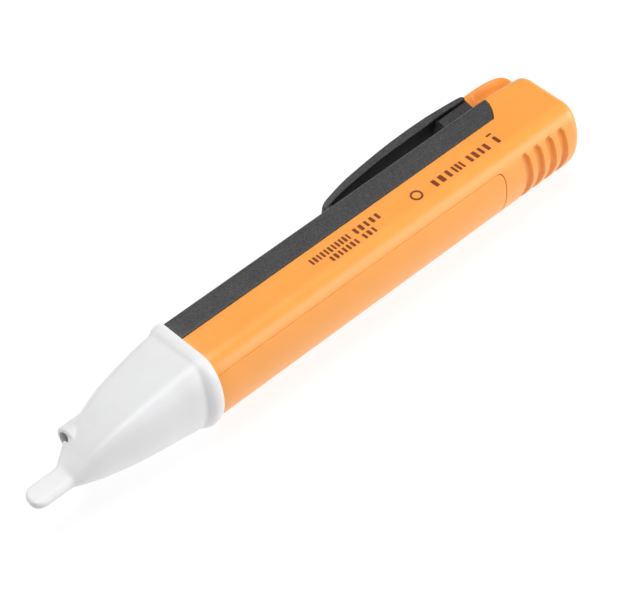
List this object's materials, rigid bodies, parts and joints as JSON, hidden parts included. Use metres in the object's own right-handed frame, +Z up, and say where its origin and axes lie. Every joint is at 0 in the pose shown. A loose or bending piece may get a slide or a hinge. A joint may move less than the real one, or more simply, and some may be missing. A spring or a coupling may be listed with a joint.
{
  "type": "non contact voltage tester",
  "caption": "Pen-shaped non-contact voltage tester with a flat probe blade, a torch in its nose, a pocket clip and a long battery door.",
  "frame": {"origin": "on the surface that the pen lies on, under the middle of the pen", "axes": "+X along the pen from the probe blade to the tail, +Y to the side with the pocket clip, +Z up, to the printed side"},
  "size_m": [0.1562, 0.0279, 0.023],
  "materials": {
    "nose": "translucent white, fine satin",
    "shell": "orange ABS, satin",
    "cover": "dark grey ABS, fine spark texture",
    "button": "soft matt",
    "switch": "moulded",
    "torch_lamp": "clear epoxy",
    "alarm_lamp": "tinted epoxy",
    "tinned": "tinned wire",
    "brass_sheet": "rolled",
    "board": "solder mask",
    "chip": "moulded epoxy",
    "ceramic_chip": "fired ceramic",
    "can": "drawn can",
    "buzzer": "moulded",
    "cell": "printed sleeve",
    "spring_metal": "nickel plated",
    "screw": "zinc plated"
  },
  "bodies": {
    "case": {"nose_cone": "nose", "body_shell": "shell", "top_cover": "cover", "switch_body": "switch", "torch_led": "torch_lamp", "torch_led_legs": "tinned", "alarm_led": "alarm_lamp", "alarm_led_legs": "tinned", "sensor_plate": "brass_sheet", "circuit_board": "board", "detector_chip": "chip", "chip_resistors": "chip", "chip_capacitors": "ceramic_chip", "transistors": "chip", "reservoir_capacitor": "can", "buzzer": "buzzer", "front_cell": "cell", "rear_cell": "cell", "positive_contact": "spring_metal", "negative_contact": "spring_metal", "contact_spring": "spring_metal", "board_screws": "screw", "cover_screws": "screw"},
    "clip": {"pocket_clip": "cover"},
    "button": {"torch_button": "button", "switch_plunger": "switch"},
    "door": {"battery_door": "shell"}
  },
  "joints": [
    {"name": "clip_flex", "type": "hinge", "parent": "case", "child": "clip", "pos_m": [0.06325, 0.0118, 0.01153], "axis": [0, 0, -1], "range_deg": [0, 3], "stiffness_Nm_per_rad": 0.6},
    {"name": "button_press", "type": "slide", "parent": "case", "child": "button", "axis": [0, -1, 0], "range_m": [0, 0.0005], "stiffness_N_per_m": 400},
    {"name": "door_lift", "type": "slide", "parent": "case", "child": "door", "axis": [0, -1, 0], "range_m": [0, 0.02]}
  ]
}
